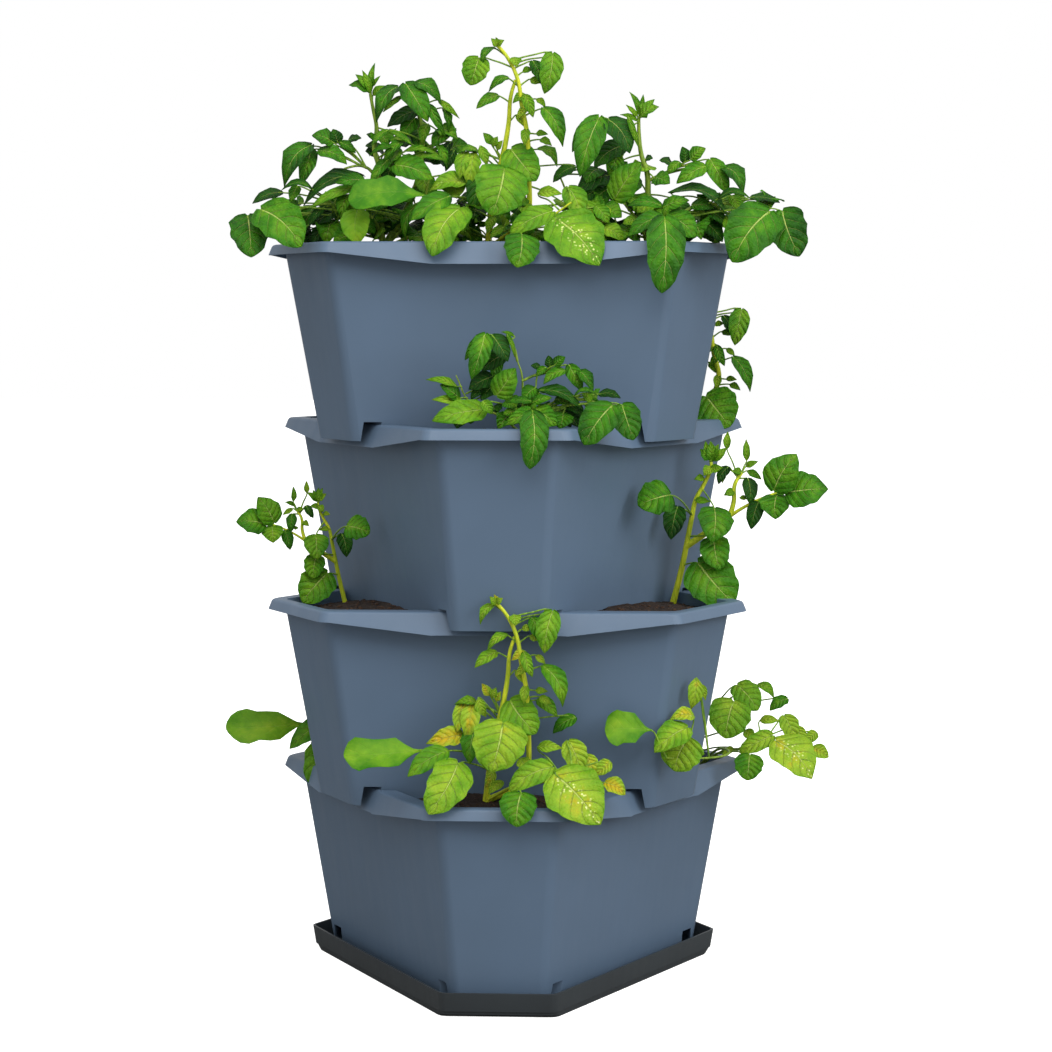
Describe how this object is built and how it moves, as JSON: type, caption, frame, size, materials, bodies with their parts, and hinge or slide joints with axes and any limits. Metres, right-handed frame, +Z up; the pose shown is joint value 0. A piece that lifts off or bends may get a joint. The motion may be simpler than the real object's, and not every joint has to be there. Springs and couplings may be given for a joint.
{
  "type": "vertical planter tower",
  "caption": "Vertical planter tower of nested truncated-triangle pots on a drip saucer, each turned half round to the one below, filled with soil and leafy vegetable plants in its open corners.",
  "frame": {"origin": "on the floor under the middle of the saucer, at its flat underside", "axes": "+Z up along the stack, -Y towards the front, where a short side of the saucer and of the lowest pot faces; +X to the right seen from the front"},
  "size_m": [0.6682, 0.5622, 0.9754],
  "materials": {
    "pot_plastic": "satin slate blue, lightly grained",
    "saucer_plastic": "matt anthracite",
    "soil": "damp crumbly potting compost",
    "foliage": "soft green leaves with a slight sheen"
  },
  "bodies": {
    "base": {"saucer": "saucer_plastic"},
    "tier_1": {"pot_1": "pot_plastic", "soil_1": "soil", "plant_1_front": "foliage", "plant_1_left_back": "foliage", "plant_1_right_back": "foliage"},
    "tier_2": {"pot_2": "pot_plastic", "soil_2": "soil", "plant_2_left": "foliage", "plant_2_right": "foliage", "plant_2_back": "foliage"},
    "tier_3": {"pot_3": "pot_plastic", "soil_3": "soil", "plant_3_front": "foliage", "plant_3_left_back": "foliage", "plant_3_right_back": "foliage"},
    "tier_4": {"pot_4": "pot_plastic", "soil_4": "soil", "plant_4_left": "foliage", "plant_4_centre": "foliage", "plant_4_right": "foliage"}
  },
  "joints": [
    {"name": "tier_1_lift", "type": "slide", "parent": "base", "child": "tier_1", "axis": [0, 0, 1], "range_m": [0, 0.12]},
    {"name": "tier_2_lift", "type": "slide", "parent": "tier_1", "child": "tier_2", "axis": [0, 0, 1], "range_m": [0, 0.12]},
    {"name": "tier_3_lift", "type": "slide", "parent": "tier_2", "child": "tier_3", "axis": [0, 0, 1], "range_m": [0, 0.12]},
    {"name": "tier_4_lift", "type": "slide", "parent": "tier_3", "child": "tier_4", "axis": [0, 0, 1], "range_m": [0, 0.12]}
  ]
}
